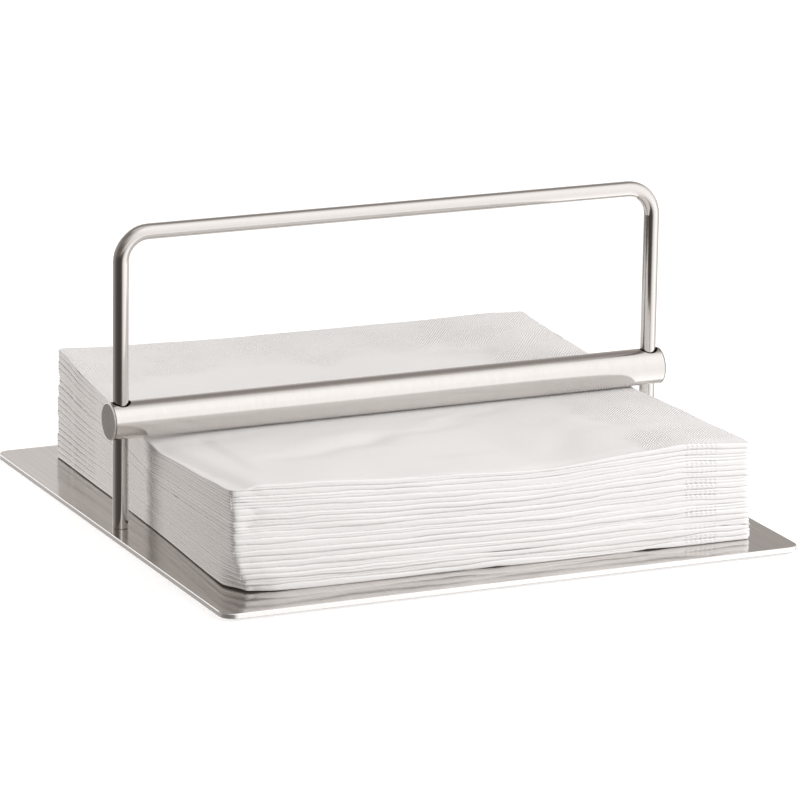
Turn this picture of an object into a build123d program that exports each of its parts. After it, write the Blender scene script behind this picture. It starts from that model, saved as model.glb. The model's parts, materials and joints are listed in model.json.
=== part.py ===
"""Table-top napkin dispenser: a square steel tray, a bent-rod handle and a
round press bar that slides on the handle's legs and holds the napkins down.

Frame: millimetres, +Z up, +X along the press bar, +Y towards the back.
The origin is on the table, under the middle of the tray.
"""
from build123d import *
import os
from math import radians, tan

# ---------------------------------------------------------------- driving sizes
# Napkins: squares of tissue folded twice, stacked with their fold at the front
napkin_depth = 165.0         # folded edge at the front to the open edge at the back
napkin_width = 170.0         # folded edge at the left to the open edge at the right
napkin_count = 18            # how many lie on the tray
pressed_pitch = 1.58         # height of one napkin under the bar, with its gap
front_pitch = 1.73           # the same at the front edge, where nothing presses
back_pitch = 1.97            # the same at the back edge
napkin_gap = 0.10            # air between one napkin and the next
dip_radius = 50.0            # rounding of the hollow that the bar presses
stack_turn = -1.3            # degrees that the stack is turned on the tray
stack_shift = 2.0            # the stack lies this far towards +X
side_slips = (0.0, 0.7, -0.5, 0.3, -0.8, 0.5, -0.2, -0.6, 0.8)   # each napkin in turn, towards +X
depth_slips = (0.0, -0.5, 0.4, -0.7, 0.2, 0.6, -0.3)             # each napkin in turn, towards +Y

# Handle: one round rod, bent twice
rod_diameter = 5.0
handle_height = 94.5         # tray's top to the middle of the rod's top run
bend_radius = 9.0            # to the middle of the rod
leg_clearance = 4.5          # napkins' nominal edge to the inside of a leg
foot_chamfer = 0.25          # at the rod's two ends

# Tray
tray_thickness = 1.8
tray_margin = 5.5            # middle of a leg to the tray's edge
tray_corner_radius = 4.5
tray_edge_chamfer = 0.25

# Press bar: a tube with a hole across it at each end, for the legs
bar_diameter = 12.0
bar_wall = 1.0
leg_hole_play = 0.75         # between leg and hole, all round
end_web = 0.90               # metal left between a leg hole and the bar's end
bar_rest_gap = 0.30          # between the bar and the top napkin

# End plugs and weight of the press bar
plug_flange = 0.50           # part of the plug that shows beyond the tube
plug_face_chamfer = 0.35
plug_groove = 0.10           # chamfer on both sides of the joint between flange and tube
plug_spigot = 10.0           # part of the plug inside the tube
plug_seam = 0.05             # between plug and tube, all round and at the tube's end
core_seam = 0.05             # between weight and tube, all round
core_gap = 1.0               # between weight and plug, at each end

# Screws through the tray into the rod's ends
screw_diameter = 3.0
screw_head_diameter = 5.5
screw_length = 9.0           # with its head
screw_seam = 0.05            # between screw and tapped hole, all round
screw_hole_play = 0.20       # between screw and tray, all round
screw_head_play = 0.10       # between head and countersink, all round
socket_size = 2.0            # across the flats
socket_depth = 1.0
tapped_depth_spare = 2.0     # tapped hole beyond the screw's tip

# Anti-slip pads under the tray
pad_diameter = 12.0
pad_thickness = 1.0
pad_inset = 14.0             # tray's edge to the middle of a pad
pad_edge_fillet = 0.3

# ---------------------------------------------------------------- derived sizes
leg_spacing = napkin_width + 2 * leg_clearance + rod_diameter
tray_side = leg_spacing + 2 * tray_margin
tray_bottom = pad_thickness
tray_top = tray_bottom + tray_thickness

leg_hole_diameter = rod_diameter + 2 * leg_hole_play
bar_length = leg_spacing + leg_hole_diameter + 2 * end_web
bar_bore = bar_diameter - 2 * bar_wall
bar_bottom = tray_top + napkin_count * pressed_pitch + bar_rest_gap
bar_middle = bar_bottom + bar_diameter / 2
handle_top = tray_top + handle_height
bar_lift = handle_top - bend_radius - (bar_middle + bar_diameter / 2)

tube_length = bar_length - 2 * (plug_flange + plug_seam)
core_length = bar_length - 2 * (plug_flange + plug_spigot + core_gap)

screw_bottom = tray_bottom + screw_head_play
screw_head_height = (screw_head_diameter - screw_diameter) / 2
countersink_diameter = screw_head_diameter + 2 * screw_head_play
tapped_depth = screw_bottom + screw_length + tapped_depth_spare - tray_top

leg_places = ((-leg_spacing / 2, 0), (leg_spacing / 2, 0))
pad_offset = tray_side / 2 - pad_inset

os.makedirs("parts", exist_ok=True)


def keep(piece, name):
    """Label a finished piece and write it as its own file."""
    piece.part.label = name
    export_step(piece.part, f"parts/{name}.step")


# ------------------------------------------------------------------------- tray
# Flat square sheet with rounded corners, countersunk from below for two screws
with BuildPart() as base_plate:
    with BuildSketch(Plane.XY.offset(tray_bottom)):
        RectangleRounded(tray_side, tray_side, tray_corner_radius)
    extrude(amount=tray_thickness)
    chamfer(base_plate.faces().filter_by(Axis.Z).edges(), tray_edge_chamfer)
    with Locations(Plane.XY.offset(tray_bottom).rotated((180, 0, 0))):
        with Locations(*leg_places):
            CounterSinkHole(
                radius=screw_diameter / 2 + screw_hole_play,
                counter_sink_radius=countersink_diameter / 2,
                depth=tray_thickness,
                counter_sink_angle=90,
            )
keep(base_plate, "base_plate")

# ------------------------------------------------------------------------- pads
# Thin self-adhesive discs, so that the steel doesn't slide or scratch
pad_places = {
    "front_left_pad": (-pad_offset, -pad_offset),
    "front_right_pad": (pad_offset, -pad_offset),
    "back_left_pad": (-pad_offset, pad_offset),
    "back_right_pad": (pad_offset, pad_offset),
}
for pad_name, pad_place in pad_places.items():
    with BuildPart() as pad:
        with BuildSketch():
            with Locations(pad_place):
                Circle(pad_diameter / 2)
        extrude(amount=pad_thickness)
        fillet(pad.faces().sort_by(Axis.Z)[0].edges(), pad_edge_fillet)
    keep(pad, pad_name)

# ----------------------------------------------------------------------- handle
# One rod: up from the tray, across the top, and down to the tray again
with BuildPart() as handle_rod:
    with BuildLine(Plane.XZ) as rod_line:
        FilletPolyline(
            (-leg_spacing / 2, tray_top),
            (-leg_spacing / 2, handle_top),
            (leg_spacing / 2, handle_top),
            (leg_spacing / 2, tray_top),
            radius=bend_radius,
        )
    with BuildSketch(Plane.XY.offset(tray_top)):
        with Locations(leg_places[0]):
            Circle(rod_diameter / 2)
    sweep(path=rod_line.line)
    rod_ends = handle_rod.faces().filter_by(Axis.Z).group_by(Axis.Z)[0]
    chamfer(rod_ends.edges(), foot_chamfer)
    with BuildSketch(Plane.XY.offset(tray_top)):
        with Locations(*leg_places):
            Circle(screw_diameter / 2 + screw_seam)
    extrude(amount=tapped_depth, mode=Mode.SUBTRACT)
keep(handle_rod, "handle_rod")

# ----------------------------------------------------------------------- screws
# Countersunk socket screws that pull the rod's ends down onto the tray
for screw_name, (leg_x, leg_y) in zip(("left_handle_screw", "right_handle_screw"), leg_places):
    screw_plane = Plane(origin=(leg_x, leg_y, screw_bottom))
    with BuildPart() as screw:
        with BuildSketch(screw_plane):
            Circle(screw_head_diameter / 2)
        with BuildSketch(screw_plane.offset(screw_head_height)):
            Circle(screw_diameter / 2)
        loft()
        with BuildSketch(screw_plane.offset(screw_head_height)):
            Circle(screw_diameter / 2)
        extrude(amount=screw_length - screw_head_height)
        with BuildSketch(screw_plane):
            RegularPolygon(socket_size / 2, 6, major_radius=False)
        extrude(amount=socket_depth, mode=Mode.SUBTRACT)
    keep(screw, screw_name)

# -------------------------------------------------------------------- press bar
# Tube that lies across the napkins, with the legs passing through its ends
with BuildPart() as press_tube:
    with BuildSketch(Plane.YZ):
        with Locations((0, bar_middle)):
            Circle(bar_diameter / 2)
            Circle(bar_bore / 2, mode=Mode.SUBTRACT)
    extrude(amount=tube_length / 2, both=True)
    outer_rims = press_tube.edges().filter_by(GeomType.CIRCLE).group_by(SortBy.RADIUS)[-1]
    chamfer(outer_rims, plug_groove)
    with BuildSketch(Plane.XY.offset(bar_middle)):
        with Locations(*leg_places):
            Circle(leg_hole_diameter / 2)
    extrude(amount=bar_diameter, both=True, mode=Mode.SUBTRACT)
keep(press_tube, "press_tube")

# Plugs pressed into the tube's ends, drilled with the tube for the legs
for plug_name, outward in (("left_end_plug", -1), ("right_end_plug", 1)):
    face_plane = Plane(origin=(outward * bar_length / 2, 0, bar_middle), z_dir=(-outward, 0, 0))
    with BuildPart() as end_plug:
        with BuildSketch(face_plane):
            Circle(bar_diameter / 2)
        extrude(amount=plug_flange)
        inward = Axis(face_plane.origin, face_plane.z_dir)
        chamfer(end_plug.faces().sort_by(inward)[0].edges(), plug_face_chamfer)
        chamfer(end_plug.faces().sort_by(inward)[-1].edges(), plug_groove)
        with BuildSketch(face_plane):
            Circle(bar_bore / 2 - plug_seam)
        extrude(amount=plug_flange + plug_spigot)
        with BuildSketch(Plane.XY.offset(bar_middle)):
            with Locations(*leg_places):
                Circle(leg_hole_diameter / 2)
        extrude(amount=bar_diameter, both=True, mode=Mode.SUBTRACT)
    keep(end_plug, plug_name)

# Solid round bar that gives the tube its weight, between the two plugs
with BuildPart() as bar_weight:
    with BuildSketch(Plane.YZ):
        with Locations((0, bar_middle)):
            Circle(bar_bore / 2 - core_seam)
    extrude(amount=core_length / 2, both=True)
keep(bar_weight, "bar_weight")

# ---------------------------------------------------------------------- napkins
# Each napkin is a folded pack of tissue. The stack is lowest under the bar and
# rises evenly from there to its front and back edges.
stack_plane = Plane(origin=(stack_shift, 0, tray_top)).rotated((0, 0, stack_turn))


def stack_surface(layers, front_y, back_y):
    """Front, middle and back points of the stack's surface above this many napkins."""
    front_rise = (front_pitch - pressed_pitch) * front_y / (-napkin_depth / 2)
    back_rise = (back_pitch - pressed_pitch) * back_y / (napkin_depth / 2)
    return (
        (front_y, layers * (pressed_pitch + front_rise)),
        (0, layers * pressed_pitch),
        (back_y, layers * (pressed_pitch + back_rise)),
    )


for layer in range(napkin_count):
    side_slip = side_slips[layer % len(side_slips)]
    front_y = -napkin_depth / 2 + depth_slips[layer % len(depth_slips)]
    back_y = front_y + napkin_depth
    over = stack_surface(layer + 1, front_y, back_y)
    under = [(y, z + napkin_gap) for y, z in stack_surface(layer, front_y, back_y)]
    outline_plane = Plane(
        origin=stack_plane.from_local_coords((side_slip, 0, 0)),
        x_dir=stack_plane.y_dir,
        z_dir=stack_plane.x_dir,
    )
    with BuildPart() as napkin:
        with BuildSketch(outline_plane):
            with BuildLine():
                if layer == 0:
                    Line(under[0], under[2])
                else:
                    FilletPolyline(*under, radius=dip_radius)
                Line(under[2], over[2])
                FilletPolyline(*over, radius=dip_radius)
                Line(over[0], under[0])
            make_face()
        extrude(amount=napkin_width / 2, both=True)
    keep(napkin, f"napkin_{layer + 1:02d}")

print(f"tray {tray_side:.1f} square, overall height {handle_top + rod_diameter / 2:.2f}")
print(f"bar middle at {bar_middle:.2f}, bar can rise {bar_lift:.2f}")
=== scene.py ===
import json
import math

import bmesh
import bpy
from mathutils import Matrix, Vector
from mathutils.noise import noise

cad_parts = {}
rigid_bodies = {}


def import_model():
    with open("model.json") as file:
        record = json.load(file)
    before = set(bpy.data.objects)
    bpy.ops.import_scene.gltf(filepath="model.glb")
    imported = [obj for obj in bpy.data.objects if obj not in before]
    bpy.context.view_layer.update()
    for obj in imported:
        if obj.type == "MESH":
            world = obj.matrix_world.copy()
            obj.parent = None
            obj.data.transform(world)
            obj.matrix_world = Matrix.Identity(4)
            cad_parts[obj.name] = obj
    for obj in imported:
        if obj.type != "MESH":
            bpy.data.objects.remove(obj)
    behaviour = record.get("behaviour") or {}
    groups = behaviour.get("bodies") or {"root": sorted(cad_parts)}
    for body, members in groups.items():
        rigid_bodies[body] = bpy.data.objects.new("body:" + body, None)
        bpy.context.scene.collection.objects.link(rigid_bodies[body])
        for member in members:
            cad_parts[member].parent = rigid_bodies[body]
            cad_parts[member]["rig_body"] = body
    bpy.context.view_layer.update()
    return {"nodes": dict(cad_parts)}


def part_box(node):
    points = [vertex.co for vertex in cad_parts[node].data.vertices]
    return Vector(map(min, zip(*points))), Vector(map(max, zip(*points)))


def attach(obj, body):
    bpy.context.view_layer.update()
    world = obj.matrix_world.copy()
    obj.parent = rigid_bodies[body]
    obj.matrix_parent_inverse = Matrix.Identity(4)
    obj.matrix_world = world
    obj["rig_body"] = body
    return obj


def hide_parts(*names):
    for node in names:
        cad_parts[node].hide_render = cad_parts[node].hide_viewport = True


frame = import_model()

# ------------------------------------------------------------------------- tray
# Square sheet of stainless steel, brushed from front to back, with its edges
# broken by a fine chamfer. It carries the handle, the napkins and four pads.
MM = 0.001
TRAY_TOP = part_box("base_plate")[1].z
HAIR_SHARE = 0.65  # of the grain, the rest is broader bands
# painted highlight: the tray's cut edges get a near-white colour and less metal, so they read bright
CUT_EDGE_HIGHLIGHT_COLOUR = (0.95, 0.94, 0.93, 1)
CUT_EDGE_HIGHLIGHT_METALLIC = 0.65


def node(tree, kind, inputs=None, **settings):
    """Add a node, set it up, and give its inputs values or the sockets that feed them."""
    made = tree.nodes.new(kind)
    for name, value in settings.items():
        setattr(made, name, value)
    for name, value in (inputs or {}).items():
        if isinstance(value, bpy.types.NodeSocket):
            tree.links.new(value, made.inputs[name])
        else:
            made.inputs[name].default_value = value
    return made


def ramp(tree, value, low, high, bottom=0.0, top=1.0, smooth=False):
    """Value between low and high, spread over bottom to top."""
    made = node(tree, "ShaderNodeMapRange", {0: value, 1: low, 2: high, 3: bottom, 4: top})
    made.interpolation_type = "SMOOTHSTEP" if smooth else "LINEAR"
    return made.outputs[0]


def sum_of(tree, a, b, operation="ADD"):
    """Two values joined by one sum."""
    return node(tree, "ShaderNodeMath", {0: a, 1: b}, operation=operation).outputs[0]


def new_material(name, colour):
    """A material with one Principled shader; returns it with its tree and shader."""
    material = bpy.data.materials.new(name)
    material.use_nodes = True
    tree = material.node_tree
    shader = tree.nodes["Principled BSDF"]
    shader.inputs["Base Color"].default_value = (*colour, 1)
    return material, tree, shader


def grain(tree, scale, detail=3.0):
    """Noise drawn out along one axis, as a belt leaves it; scale is per metre on each axis."""
    place = node(tree, "ShaderNodeTexCoord").outputs["Object"]
    drawn = node(tree, "ShaderNodeMapping", {"Vector": place, "Scale": scale}).outputs[0]
    return node(tree, "ShaderNodeTexNoise", {"Vector": drawn, "Scale": 1.0, "Detail": detail}).outputs["Fac"]


def brushed_steel(name, colour, rough, fine, coarse, along, anisotropy=0.0, relief=0.02, streaks=0.06,
                  face=None):
    """Steel with a grain in its colour, gloss and relief.

    Given the height of a sheet's face, its cut edges below that stay plain, pale and less metallic: a painted
    highlight along the edges.
    """
    material, tree, shader = new_material(name, colour)
    hair = grain(tree, fine)
    band = grain(tree, coarse, 2.0)
    both = sum_of(tree, sum_of(tree, hair, HAIR_SHARE, "MULTIPLY"),
                  sum_of(tree, band, 1 - HAIR_SHARE, "MULTIPLY"))
    shade = node(tree, "ShaderNodeMix", {0: both}, data_type="RGBA")
    shade.inputs[6].default_value = (*(c * (1 - streaks) for c in colour), 1)
    shade.inputs[7].default_value = (*(c * (1 + streaks) for c in colour), 1)
    if face:
        place = node(tree, "ShaderNodeTexCoord").outputs["Object"]
        upward = node(tree, "ShaderNodeSeparateXYZ", {0: place}).outputs[2]
        on_face = ramp(tree, upward, face - 0.1 * MM, face - 0.05 * MM)
        both = node(tree, "ShaderNodeMix", {0: on_face, 2: 0.5, 3: both}, data_type="FLOAT").outputs[0]
        hair = node(tree, "ShaderNodeMix", {0: on_face, 2: 0.5, 3: hair}, data_type="FLOAT").outputs[0]
        shade = node(tree, "ShaderNodeMix", {0: on_face, 7: shade.outputs[2]}, data_type="RGBA")
        # painted highlight on the cut edges: near-white colour and less metal
        shade.inputs[6].default_value = CUT_EDGE_HIGHLIGHT_COLOUR
        tree.links.new(ramp(tree, on_face, 0.0, 1.0, CUT_EDGE_HIGHLIGHT_METALLIC, 1.0), shader.inputs["Metallic"])
    else:
        shader.inputs["Metallic"].default_value = 1.0
    tree.links.new(shade.outputs[2], shader.inputs["Base Color"])
    tree.links.new(ramp(tree, both, 0.3, 0.7, rough * 0.8, rough * 1.25), shader.inputs["Roughness"])
    bump = node(tree, "ShaderNodeBump", {"Height": hair, "Strength": 1.0, "Distance": relief * MM})
    tree.links.new(bump.outputs[0], shader.inputs["Normal"])
    shader.inputs["Anisotropic"].default_value = anisotropy
    if along:
        lay = node(tree, "ShaderNodeCombineXYZ", dict(zip("XYZ", along)))
        tree.links.new(lay.outputs[0], shader.inputs["Tangent"])
    return material


def coat(name, material):
    """Give a CAD piece its one material."""
    piece = frame["nodes"][name]
    piece.data.materials.clear()
    piece.data.materials.append(material)


coat("base_plate", brushed_steel(
    "tray brushed steel", (0.71, 0.685, 0.665), 0.075, streaks=0.28, face=TRAY_TOP,
    fine=(2600, 22, 400), coarse=(800, 8, 200), along=(0, 1, 0.05), anisotropy=0.35))

# ------------------------------------------------------------------------- pads
# Thin self-adhesive discs of soft grey rubber under the tray's corners.


def pad_rubber():
    """Matt moulded rubber with a fine even grain and dust in it."""
    material, tree, shader = new_material("pad rubber", (0.24, 0.24, 0.235))
    speck = grain(tree, (900, 900, 900))
    tree.links.new(ramp(tree, speck, 0.35, 0.65, 0.62, 0.85), shader.inputs["Roughness"])
    bump = node(tree, "ShaderNodeBump", {"Height": speck, "Strength": 0.6, "Distance": 0.05 * MM})
    tree.links.new(bump.outputs[0], shader.inputs["Normal"])
    return material


rubber = pad_rubber()
for pad in ("front_left_pad", "front_right_pad", "back_left_pad", "back_right_pad"):
    coat(pad, rubber)

# ----------------------------------------------------------------------- handle
# One stainless rod, bent twice to a wide arch and satin ground, and screwed to
# the tray from below. Its legs guide the press bar.
coat("handle_rod", brushed_steel(
    "rod satin steel", (0.71, 0.685, 0.665), 0.11,
    fine=(3000, 3000, 3000), coarse=(300, 300, 300), along=None, relief=0.006))

# ----------------------------------------------------------------------- screws
# Countersunk socket screws, plain stainless as turned.
screw_steel = brushed_steel(
    "screw steel", (0.58, 0.57, 0.555), 0.24,
    fine=(2500, 2500, 2500), coarse=(500, 500, 500), along=None, relief=0.01)
for screw in ("left_handle_screw", "right_handle_screw"):
    coat(screw, screw_steel)

# -------------------------------------------------------------------- press bar
# Stainless tube polished round its girth, closed at both ends by flanged plugs
# that are turned and drilled with it, over a solid weight of mild steel.
coat("press_tube", brushed_steel(
    "tube ground steel", (0.74, 0.715, 0.695), 0.15, streaks=0.09,
    fine=(4200, 500, 500), coarse=(420, 160, 160), along=None, relief=0.006))


RIM = 0.36 * MM  # the plugs' chamfer and a hair more
# painted highlight: the plugs' rim gets a near-white colour and almost no metal, so it reads as a bright ring
RIM_HIGHLIGHT_COLOUR = (0.97, 0.96, 0.95, 1)
RIM_ROUGHNESS = 0.62
RIM_HIGHLIGHT_METALLIC = 0.1


def turned_steel(name, colour, rough, centre_height, rim_radius, rim_place):
    """Faced on a lathe: fine rings about the bar's own axis, and a frosted rim painted near white and barely
    metallic: a painted highlight.
    """
    material, tree, shader = new_material(name, colour)
    place = node(tree, "ShaderNodeTexCoord").outputs["Object"]
    moved = node(tree, "ShaderNodeMapping", {"Vector": place, "Location": (0, 0, -centre_height)})
    parts = node(tree, "ShaderNodeSeparateXYZ", {0: moved.outputs[0]})
    flat = node(tree, "ShaderNodeCombineXYZ", {"X": parts.outputs[1], "Y": parts.outputs[2]})
    radius = node(tree, "ShaderNodeVectorMath", {0: flat.outputs[0]}, operation="LENGTH").outputs["Value"]
    rings = node(tree, "ShaderNodeTexNoise", {"W": radius, "Scale": 5200.0, "Detail": 3.0},
                 noise_dimensions="1D").outputs["Fac"]
    end = node(tree, "ShaderNodeMath", {0: parts.outputs[0]}, operation="ABSOLUTE").outputs[0]
    # mask of the rim that carries the painted highlight
    highlight_rim = sum_of(tree, ramp(tree, radius, rim_radius - 0.03 * MM, rim_radius),
                 ramp(tree, end, rim_place - 0.02 * MM, rim_place), "MULTIPLY")
    gloss = ramp(tree, rings, 0.3, 0.7, rough * 0.8, rough * 1.3)
    gloss = node(tree, "ShaderNodeMix", {0: highlight_rim, 2: gloss, 3: RIM_ROUGHNESS}, data_type="FLOAT").outputs[0]
    tree.links.new(gloss, shader.inputs["Roughness"])
    tone = node(tree, "ShaderNodeMix", {0: highlight_rim}, data_type="RGBA")
    tone.inputs[6].default_value = (*colour, 1)
    tone.inputs[7].default_value = RIM_HIGHLIGHT_COLOUR
    tree.links.new(tone.outputs[2], shader.inputs["Base Color"])
    tree.links.new(ramp(tree, highlight_rim, 0.0, 1.0, 1.0, RIM_HIGHLIGHT_METALLIC), shader.inputs["Metallic"])
    bump = node(tree, "ShaderNodeBump", {"Height": rings, "Strength": 1.0, "Distance": 0.012 * MM})
    tree.links.new(bump.outputs[0], shader.inputs["Normal"])
    return material


tube_low, tube_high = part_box("press_tube")
bar_height = (tube_low.z + tube_high.z) / 2
plug_low, plug_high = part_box("right_end_plug")
plug_radius = (plug_high.z - plug_low.z) / 2
plug_steel = turned_steel("plug turned steel", (0.45, 0.42, 0.40), 0.20, bar_height,
                          plug_radius - RIM, plug_high.x - RIM)
for plug in ("left_end_plug", "right_end_plug"):
    coat(plug, plug_steel)
coat("bar_weight", brushed_steel(
    "weight mild steel", (0.36, 0.35, 0.34), 0.45,
    fine=(900, 3000, 3000), coarse=(200, 500, 500), along=None, relief=0.02))

# ---------------------------------------------------------------------- napkins
# Eighteen three-ply tissue napkins, each a sheet folded twice: one thick fold
# faces the front, two finer folds the left, and four open leaf edges the right
# and the back. Rolled borders run along the open edges. The bar presses a
# hollow into them, and handling has creased the top one.
# Lengths here are in mm, from the middle of the stack.
COUNT = 18
HALF_WIDTH = 85.0
HALF_DEPTH = 82.5
CORNER_RADIUS = 1.8
BORDER = 34.0
BORDER_BLUR = 4.0
PIT_STRIPE = (62.0, 73.2)
TISSUE_WHITE = (0.905, 0.89, 0.882)
TISSUE_RELIEF = 0.11

# the stack lies a little askew on the tray, and a little more so towards its top
STACK_SHIFT = (1.5, -0.4)
STACK_TURN, STACK_TWIST = -1.3, -0.8  # degrees


def tissue():
    """White crepe tissue with rolled borders along its two open sides."""
    material, tree, shader = new_material("napkin tissue", TISSUE_WHITE)
    shader.inputs["Roughness"].default_value = 0.9
    shader.inputs["Specular IOR Level"].default_value = 0.15
    lie = node(tree, "ShaderNodeUVMap", uv_map="lie").outputs[0]
    across, along = node(tree, "ShaderNodeSeparateXYZ", {0: lie}).outputs[0:2]

    crepe = grain(tree, (520, 760, 900), 4.0)
    fibre = grain(tree, (2600, 2600, 2600), 2.0)
    plain = sum_of(tree, sum_of(tree, crepe, 0.8, "MULTIPLY"), sum_of(tree, fibre, 0.25, "MULTIPLY"))

    # rolled pattern: fine dots, with patches where slanting lines take their place
    spread = node(tree, "ShaderNodeMapping", {"Vector": lie, "Rotation": (0, 0, 0.2), "Scale": (1.1, 0.7, 1)})
    dots = node(tree, "ShaderNodeTexVoronoi", {"Vector": spread.outputs[0], "Scale": 1.0, "Randomness": 0.15},
                voronoi_dimensions="2D").outputs["Distance"]
    dots = ramp(tree, dots, 0.15, 0.5, 1.0, 0.0, smooth=True)
    slant = sum_of(tree, sum_of(tree, across, 6.4, "MULTIPLY"), sum_of(tree, along, -5.0, "MULTIPLY"))
    lines = ramp(tree, node(tree, "ShaderNodeMath", {0: slant}, operation="SINE").outputs[0], -1, 1)
    patch = node(tree, "ShaderNodeTexNoise", {"Vector": lie, "Scale": 0.12, "Detail": 0.5},
                 noise_dimensions="2D").outputs["Fac"]
    patch = ramp(tree, patch, 0.47, 0.54, smooth=True)
    motif = node(tree, "ShaderNodeMix", {0: patch, 2: dots, 3: lines}, data_type="FLOAT").outputs[0]
    faint = node(tree, "ShaderNodeTexNoise", {"Vector": lie, "Scale": 0.05, "Detail": 3.0},
                 noise_dimensions="2D").outputs["Fac"]
    frayed = ramp(tree, faint, 0.3, 0.7, -3.5, 3.5)
    inner_x, inner_y = HALF_WIDTH - BORDER, HALF_DEPTH - BORDER
    right_border = ramp(tree, sum_of(tree, across, frayed),
                        inner_x - BORDER_BLUR, inner_x + BORDER_BLUR, smooth=True)
    back_border = ramp(tree, sum_of(tree, along, frayed),
                       inner_y - BORDER_BLUR, inner_y + BORDER_BLUR, smooth=True)
    border = sum_of(tree, right_border, back_border, "MAXIMUM")
    flat = ramp(tree, along, -HALF_DEPTH - 0.1, -HALF_DEPTH + 0.1)
    worn = ramp(tree, faint, 0.35, 0.62, 0.55, 1.0)
    border = sum_of(tree, border, sum_of(tree, flat, worn, "MULTIPLY"), "MULTIPLY")
    rolled = sum_of(tree, motif, border, "MULTIPLY")

    # two rows of bolder pits on the front folds, in a stripe near the right, clearer on some folds
    left, right = PIT_STRIPE
    stripe = sum_of(tree, ramp(tree, across, left, left + 0.4),
                    ramp(tree, across, right, right - 0.4), "MULTIPLY")
    fold = ramp(tree, along, -HALF_DEPTH + 0.1, -HALF_DEPTH - 0.1)
    bold = node(tree, "ShaderNodeMapping",
                {"Vector": lie, "Location": (0, -0.06, 0), "Scale": (0.62, 1.15, 1)})
    bold = node(tree, "ShaderNodeTexVoronoi", {"Vector": bold.outputs[0], "Scale": 1.0, "Randomness": 0.0},
                voronoi_dimensions="2D").outputs["Distance"]
    pits = ramp(tree, bold, 0.20, 0.36, 1.0, 0.0, smooth=True)
    place = node(tree, "ShaderNodeTexCoord").outputs["Object"]
    upward = node(tree, "ShaderNodeSeparateXYZ", {0: place}).outputs[2]
    rows = node(tree, "ShaderNodeTexNoise", {"W": upward, "Scale": 330.0, "Detail": 0.0},
                noise_dimensions="1D").outputs["Fac"]
    stripe = sum_of(tree, stripe, ramp(tree, rows, 0.42, 0.62, 0.15, 1.0), "MULTIPLY")
    pits = sum_of(tree, pits, sum_of(tree, stripe, fold, "MULTIPLY"), "MULTIPLY")

    height = sum_of(tree, plain, sum_of(tree, rolled, 1.35, "MULTIPLY"))
    height = sum_of(tree, height, sum_of(tree, pits, 0.8, "MULTIPLY"), "SUBTRACT")
    bump = node(tree, "ShaderNodeBump", {"Height": height, "Strength": 1.0, "Distance": TISSUE_RELIEF * MM})
    tree.links.new(bump.outputs[0], shader.inputs["Normal"])

    # painted shade: the pressed hollows of the rolled border and the pits are darkened a little, standing in
    # for the shadow inside them
    pressed = sum_of(tree, border, rolled, "SUBTRACT")
    painted_shade = sum_of(tree, sum_of(tree, pressed, 0.035, "MULTIPLY"), sum_of(tree, pits, 0.05, "MULTIPLY"))
    tone = node(tree, "ShaderNodeMix", {0: painted_shade}, data_type="RGBA")
    tone.inputs[6].default_value = (*TISSUE_WHITE, 1)
    tone.inputs[7].default_value = (0.0, 0.0, 0.0, 1)
    tree.links.new(tone.outputs[2], shader.inputs["Base Color"])
    return material


def curve(points, at):
    """Value at a place along a softened line of (place, value) points."""
    if at <= points[0][0]:
        return points[0][1]
    for (start, low), (end, high) in zip(points, points[1:]):
        if at <= end:
            t = (at - start) / (end - start)
            t = 0.5 * t + 0.5 * t * t * (3 - 2 * t)
            return low + (high - low) * t
    return points[-1][1]


def step(at, start, end):
    """0 before start and 1 after end, smooth between."""
    t = min(1.0, max(0.0, (at - start) / (end - start)))
    return t * t * (3 - 2 * t)


def ripple(x, y, seed, size):
    """Smooth waves of about this size, from -1 to 1."""
    return 1.6 * noise(Vector((x / size, y / size, seed)))


def off_line(x, y, start, end):
    """How far a place lies to the left of a line, and how far along it, from 0 to 1."""
    (ax, ay), (bx, by) = start, end
    length = math.hypot(bx - ax, by - ay)
    ux, uy = (bx - ax) / length, (by - ay) / length
    return ux * (y - ay) - uy * (x - ax), (ux * (x - ax) + uy * (y - ay)) / length


def crease(x, y, start, end, height, width):
    """A soft ridge along a line, fading at both ends; negative height makes a furrow."""
    side, along = off_line(x, y, start, end)
    fade = step(along, -0.05, 0.25) * (1 - step(along, 0.7, 1.05))
    return height * fade * math.exp(-(side / width) ** 2)


# (place across the stack, height over the tray) along its front, its back and under the bar
FRONT_HEIGHTS = ((-86, 34.4), (-66, 33.4), (-33, 31.7), (14, 30.1),
                 (48, 32.5), (62, 33.2), (80, 31.9), (86, 31.5))
BACK_HEIGHTS = ((-84, 35.6), (-64, 35.4), (-14, 34.9), (50, 35.4), (72, 36.0), (84, 35.6))
BAR_HEIGHTS = ((-84, 27.4), (-70, 28.1), (-52, 28.4), (84, 28.4))
BAR_REACH = 79  # from the bar's contact to the stack's edge

# (start, end, height, width) of each ridge, or furrow where the height is negative, in the top napkin
CREASES = (
    ((-66, -49), (-8, -27), -0.50, 4.6),
    ((-40, -40), (22, -18), -0.38, 3.4),
    ((-52, -30), (-16, -20), 0.25, 4.0),
    ((2, -16), (30, -9), 0.30, 2.2),
    ((16, -13), (38, -8), -0.32, 1.8),
    ((-12, -60), (24, -82), 0.38, 6.0),
    ((38, -42), (20, -80), -0.42, 6.0),
    ((44, -30), (58, -62), 0.30, 6.0),
    ((36, 54), (62, 44), -0.7, 3.6),
    ((-50, 44), (-10, 30), 0.22, 6.0),
)

# how far each napkin's front left corner is tucked in, from the lowest one up
CORNER_TUCKS = (4.4, 3.3, 2.3, 1.5, 0.9, 0.5)


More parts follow.
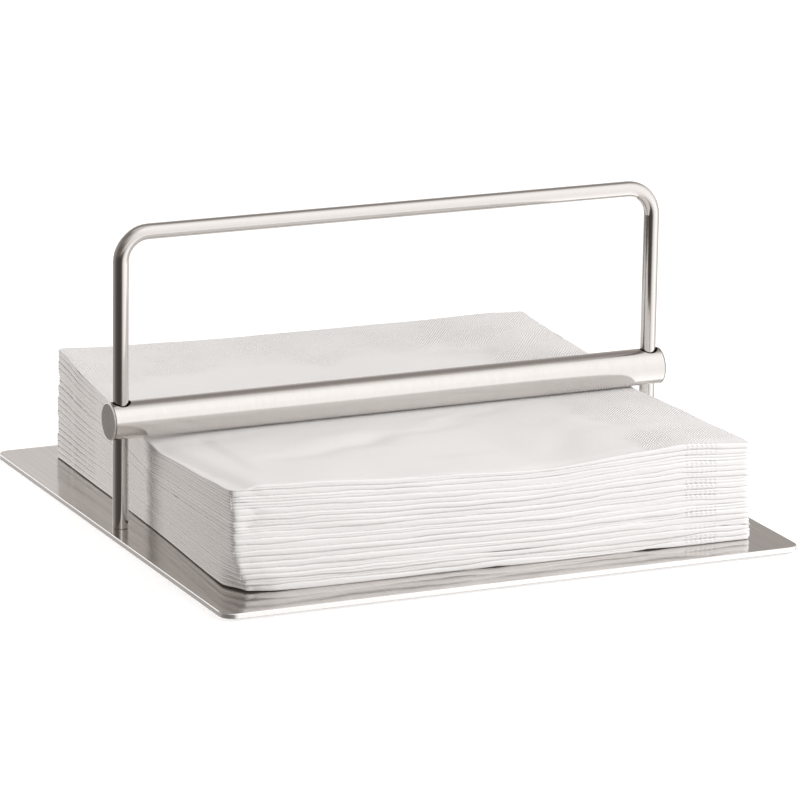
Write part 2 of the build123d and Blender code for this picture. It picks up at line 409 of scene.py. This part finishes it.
def stack_height(x, y):
    """Height of the whole stack over the tray, in mm, at a place in mm."""
    low = curve(BAR_HEIGHTS, x)
    away = max(0.0, abs(y) - 3.0)
    if y < 0:
        rise = (curve(FRONT_HEIGHTS, x) - low) * min(1.1, away / BAR_REACH) ** 0.86
    else:
        rise = (curve(BACK_HEIGHTS, x) - low) * min(1.1, away / BAR_REACH) ** 0.68
        rise -= 0.7 * step(-x, 58, 80) * step(y, 36, 54) * (1 - step(y, 60, 76))
        rise += 0.7 * step(-x, 62, 84) * step(y, 62, 82)
    soft = step(away, 0, 9)
    return low + rise * (0.25 + 0.75 * soft)


def handled(x, y):
    """Creases and dents in the top napkin, in mm."""
    relief = 0.26 * ripple(x, y, 3.7, 34) + 0.10 * ripple(x + 0.6 * y, 2.2 * y, 9.1, 16)
    bent_x, bent_y = x + 3.5 * ripple(x, y, 21.0, 24), y + 2.6 * ripple(x, y, 33.0, 18)
    for line in CREASES:
        relief += crease(bent_x, bent_y, *line)
    side, along = off_line(x, y, (-70, -60), (-65, 4))
    relief -= 0.55 * step(side, -1.0, 3.5) * step(along, -0.1, 0.2) * (1 - step(along, 1.0, 1.2))
    return relief * step(abs(y), 5, 12)


def shape_edges(x, y, h, gx, gy, index, seed):
    """Push a napkin's edge to its rounded folds and ragged leaves."""
    fold = -abs(2 * h - 1) ** 3
    halves = -abs(2 * ((2 * h) % 1.0 if 0 < h < 1 else 0.0) - 1) ** 2
    leaf = min(3, int(h * 4 - 1e-6))
    within = h * 4 - leaf
    between = -0.34 if within < 0.05 or within > 0.95 else 0.0
    if gy < -0.9999:
        depth = 0.27 + 0.12 * ripple(x, 0, seed + 31, 40) - 0.08 * step(x, 0, 60)
        y -= depth * fold + 0.30 * ripple(x, 0, seed, 30) + 0.06 * ripple(x, 0, seed + 5, 7)
        inner = max(0.0, ripple(x, 0, seed + 50, 55)) * math.exp(-((h - 0.45) / 0.13) ** 2)
        y += 0.22 * inner
        y += 0.45 * max(0.0, ripple(x, 0, seed + 60, 5)) * step(-x, HALF_WIDTH - 16, HALF_WIDTH - 4)
    if gx < -0.9999:
        x -= 0.36 * halves + 0.12 * ripple(y, 0, seed + 12, 40)
    if gx > 0.9999:
        x += between + 0.35 * ripple(y, 0, seed + leaf * 2.7, 34) + 0.14 * ripple(y, 0, seed + leaf * 4.1, 8)
    if gy > 0.9999:
        y += between + 0.24 * ripple(x, 0, seed + leaf * 3.9 + 40, 34)
    # the lowest napkins' front left corner is tucked in
    tuck = CORNER_TUCKS[index] if index < len(CORNER_TUCKS) else 0.0
    near = step(-x, HALF_WIDTH - 16, HALF_WIDTH) * step(-y, HALF_DEPTH - 12, HALF_DEPTH)
    # the open back right corner has slid inwards, and the folded front spreads a little
    slide = 4.2 * step(x, -10, HALF_WIDTH) * step(y, 5, HALF_DEPTH)
    spread = (0.021 * x - 0.3) * step(-y, 0, HALF_DEPTH)
    return x + tuck * near - slide + spread, y + 0.3 * tuck * near


def level(k, x, y):
    """Height over the tray, in mm, of the surface above k napkins.

    The lowest napkins stand a little off the tray on the left and at two small puckers in front.
    """
    corner = 0.35 * step(-x, 62, 84) * step(-y, 55, 80) + 0.22 * step(-x, 74, 84)
    if k == 0:
        lifted = 0.3 * math.exp(-((x + 2) / 3) ** 2) + 0.3 * math.exp(-((x - 51) / 4) ** 2)
        lifted += 0.08 * step(x, 44, 52)
        return 0.02 + lifted * step(-y, 60, 84) + corner
    full = stack_height(x, y)
    if k == COUNT:
        edge = step(-x, HALF_WIDTH - 9, HALF_WIDTH) ** 2
        front = step(-y, HALF_DEPTH - 5, HALF_DEPTH) ** 2
        return full + handled(x, y) - 1.3 * edge * step(abs(y), 4, 16) - 0.25 * front
    calm = 1 - 0.75 * step(-x, 20, 75)
    waver = calm * (0.24 * ripple(x, y, k * 5.3, 46) + 0.07 * ripple(x, y, k * 3.1, 15))
    waver += 0.12 * step(-y, HALF_DEPTH - 10, HALF_DEPTH) * ripple(x, 0, k * 4.7, 9)
    return full * (k + waver) / COUNT + corner * (1 - k / COUNT) ** 2


def napkin(index, cells, crowd):
    """One folded napkin; index counts from the tray, crowd packs its grid towards the edges."""
    bm = bmesh.new()
    bmesh.ops.create_grid(bm, x_segments=cells, y_segments=cells, size=1)
    raised = bmesh.ops.extrude_face_region(bm, geom=bm.faces[:])
    top = [part for part in raised["geom"] if isinstance(part, bmesh.types.BMVert)]
    bmesh.ops.translate(bm, verts=top, vec=(0, 0, 1))
    upright = [e for e in bm.edges if abs(e.verts[0].co.z - e.verts[1].co.z) > 0.5]
    bmesh.ops.subdivide_edges(bm, edges=upright, cuts=11, use_grid_fill=True)
    bmesh.ops.recalc_face_normals(bm, faces=bm.faces[:])

    seed = index * 7.31
    slip_x = 0.26 * ripple(seed, 1.7, 0.3, 1)
    slip_y = 0.30 * ripple(seed, 9.2, 4.1, 1)
    turn = math.radians(STACK_TURN + STACK_TWIST * index / COUNT + 0.06 * ripple(seed, 3.3, 8.8, 1))
    lie = bm.loops.layers.uv.new("lie")
    laid = {}
    for vert in bm.verts:
        gx, gy, h = vert.co
        x = math.copysign(1 - (1 - abs(gx)) ** crowd, gx) * HALF_WIDTH
        y = math.copysign(1 - (1 - abs(gy)) ** crowd, gy) * HALF_DEPTH
        rounds = h * 1.7 if 0 < h < 1 else 0.0
        laid[vert.index] = (x + math.copysign(rounds, gx) * (abs(gx) > 0.9999),
                            y + math.copysign(rounds, gy) * (abs(gy) > 0.9999))
        reach_x, reach_y = abs(x) - HALF_WIDTH + CORNER_RADIUS, abs(y) - HALF_DEPTH + CORNER_RADIUS
        if reach_x > 0 and reach_y > 0:
            pull = max(reach_x, reach_y) / math.hypot(reach_x, reach_y)
            x = math.copysign(HALF_WIDTH - CORNER_RADIUS + reach_x * pull, x)
            y = math.copysign(HALF_DEPTH - CORNER_RADIUS + reach_y * pull, y)
        x, y = shape_edges(x, y, h, gx, gy, index, seed)
        px = x * math.cos(turn) - y * math.sin(turn) + slip_x + STACK_SHIFT[0]
        py = x * math.sin(turn) + y * math.cos(turn) + slip_y + STACK_SHIFT[1]
        low, high = level(index, px, py), level(index + 1, px, py)
        gap = 0.03 + 0.05 * step(px, -70, -40) * max(0.0, ripple(px, py, index * 2.2, 22))
        z = low + gap / 2 + (high - low - gap) * h
        vert.co = Vector((px * MM, py * MM, TRAY_TOP + z * MM))
    for face in bm.faces:
        face.smooth = True
        for loop in face.loops:
            loop[lie].uv = laid[loop.vert.index]
    mesh = bpy.data.meshes.new(f"napkin {index + 1:02d}")
    bm.to_mesh(mesh)
    bm.free()
    piece = bpy.data.objects.new(f"folded_napkin_{index + 1:02d}", mesh)
    bpy.context.scene.collection.objects.link(piece)
    return piece


paper = tissue()
for index in range(COUNT):
    sheet = napkin(index, 110, 1.35) if index == COUNT - 1 else napkin(index, 56, 1.6)
    sheet.data.materials.append(paper)
    cad_name = f"napkin_{index + 1:02d}"
    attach(sheet, frame["nodes"][cad_name]["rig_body"])
    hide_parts(cad_name)

# ------------------------------------------------------ floor, light and camera
# A plain pale table, a broad soft sky brightest at the front and right and
# darker behind, and a long lens from the front left, a little above the tray.
scene = bpy.context.scene
scene.view_settings.view_transform = "Standard"

bm = bmesh.new()
bmesh.ops.create_grid(bm, x_segments=8, y_segments=8, size=6.0)
floor_mesh = bpy.data.meshes.new("table")
bm.to_mesh(floor_mesh)
bm.free()
floor = bpy.data.objects.new("table", floor_mesh)
scene.collection.objects.link(floor)
floor_material, floor_tree, floor_shader = new_material("table white", (0.93, 0.93, 0.93))
floor_shader.inputs["Roughness"].default_value = 0.8
floor_shader.inputs["Emission Color"].default_value = (1, 1, 1, 1)
floor_shader.inputs["Emission Strength"].default_value = 0.45
floor.data.materials.append(floor_material)
floor.visible_glossy = False
floor.visible_diffuse = False

world = bpy.data.worlds.new("studio")
scene.world = world
world.use_nodes = True
sky = world.node_tree
ground = sky.nodes["Background"]
way = node(sky, "ShaderNodeTexCoord").outputs["Generated"]
axes = node(sky, "ShaderNodeSeparateXYZ", {0: way}).outputs
minus_y = sum_of(sky, axes[1], -1.0, "MULTIPLY")
turn_round = node(sky, "ShaderNodeMath", {0: axes[0], 1: minus_y}, operation="ARCTAN2").outputs[0]
around = ramp(sky, turn_round, -math.pi, math.pi)


def profile(tree, value, points):
    """Grey levels along a ramp, from (degrees, level) points over a full or half turn."""
    made = node(tree, "ShaderNodeFloatCurve", {"Value": value})
    line = made.mapping.curves[0]
    made.mapping.use_clip = False
    while len(line.points) < len(points):
        line.points.new(0.5, 0.5)
    for spot, (place, level) in zip(line.points, points):
        spot.location = (place, level)
        spot.handle_type = "AUTO_CLAMPED"
    made.mapping.update()
    return made.outputs[0]


def turn_points(pairs):
    """Azimuths in degrees, 0 at the front and 90 at the right, to places on a ramp; levels halved."""
    return [((angle + 180) / 360, level / 2) for angle, level in pairs]


# how bright the sky is all round: from just below the horizon, near level, and overhead
below = profile(sky, around, turn_points((
    (-180, 1.1), (-168, 0.9), (-160, 0.4), (-152, 0.34), (-133, 0.38), (-111, 0.24), (-93, 0.14),
    (-76, 0.10), (-30, 0.07), (-14, 0.12), (2, 0.6), (20, 1.1), (44, 1.4), (62, 1.5), (84, 1.1),
    (115, 0.6), (140, 0.8), (165, 1.2), (180, 1.1))))
near_level = profile(sky, around, turn_points((
    (-180, 1.1), (-172, 1.2), (-160, 1.1), (-152, 0.42), (-120, 0.34), (-90, 0.17), (-60, 0.15),
    (-30, 0.4), (0, 1.05), (30, 1.25), (60, 1.3), (90, 1.1), (120, 0.7), (140, 0.40), (151, 0.45),
    (160, 0.74), (170, 0.8), (180, 1.1))))
overhead = profile(sky, around, turn_points((
    (-180, 0.28), (-140, 0.27), (-100, 0.25), (-60, 0.36), (-20, 0.85), (25, 1.3), (80, 1.15),
    (110, 0.65), (140, 0.32), (180, 0.28))))
first = ramp(sky, axes[2], -0.06, 0.10, smooth=True)
second = ramp(sky, axes[2], 0.34, 0.70, smooth=True)
third = ramp(sky, axes[2], 0.88, 1.0, smooth=True)
mixed = node(sky, "ShaderNodeMix", {0: first, 2: below, 3: near_level}, data_type="FLOAT").outputs[0]
mixed = node(sky, "ShaderNodeMix", {0: second, 2: mixed, 3: overhead}, data_type="FLOAT").outputs[0]
mixed = node(sky, "ShaderNodeMix", {0: third, 2: mixed, 3: 0.36}, data_type="FLOAT").outputs[0]
level_out = sum_of(sky, mixed, 2.0, "MULTIPLY")
sees = node(sky, "ShaderNodeLightPath").outputs["Is Camera Ray"]
strength = node(sky, "ShaderNodeMix", {0: sees, 2: level_out, 3: 1.0}, data_type="FLOAT").outputs[0]
sky.links.new(strength, ground.inputs["Strength"])
warmth = node(sky, "ShaderNodeMix", {0: ramp(sky, strength, 0.1, 0.9)}, data_type="RGBA")
warmth.inputs[6].default_value = (1.0, 0.90, 0.84, 1)
warmth.inputs[7].default_value = (1.0, 0.985, 0.972, 1)
sky.links.new(warmth.outputs[2], ground.inputs["Color"])


def soft_box(name, place, target, size, watts, colour):
    """A square lamp that lights the object but isn't seen itself."""
    data = bpy.data.lights.new(name, "AREA")
    data.size, data.energy, data.color = size, watts, colour
    lamp = bpy.data.objects.new(name, data)
    scene.collection.objects.link(lamp)
    lamp.location = place
    lamp.rotation_euler = (Vector(target) - Vector(place)).to_track_quat("-Z", "Y").to_euler()
    lamp.visible_camera = False
    lamp.visible_glossy = False


soft_box("lamp right", (0.40, -0.40, 0.28), (0.06, -0.06, 0.02), 0.25, 1.75, (0.95, 0.98, 1))
soft_box("lamp left", (-0.36, 0.20, 0.10), (-0.083, 0.02, 0.02), 0.28, 0.66, (1, 0.98, 0.96))

camera_data = bpy.data.cameras.new("view")
camera = bpy.data.objects.new("view", camera_data)
scene.collection.objects.link(camera)
scene.camera = camera
CAMERA_DISTANCE = 1.7294
azimuth, elevation, roll = math.radians(-24.699), math.radians(15.015), math.radians(0.862)
back = Vector((math.sin(azimuth) * math.cos(elevation), -math.cos(azimuth) * math.cos(elevation),
               math.sin(elevation)))
level_right = Vector((0, 0, 1)).cross(back).normalized()
level_up = back.cross(level_right)
right = math.cos(roll) * level_right + math.sin(roll) * level_up
up = -math.sin(roll) * level_right + math.cos(roll) * level_up
aim = Vector((3.7, 0, 34.76)) * MM
turned = Matrix((right, up, back)).transposed().to_4x4()
camera.matrix_world = Matrix.Translation(aim + back * CAMERA_DISTANCE) @ turned
camera_data.sensor_width = 36
camera_data.lens = 244.08
camera_data.clip_end = 50
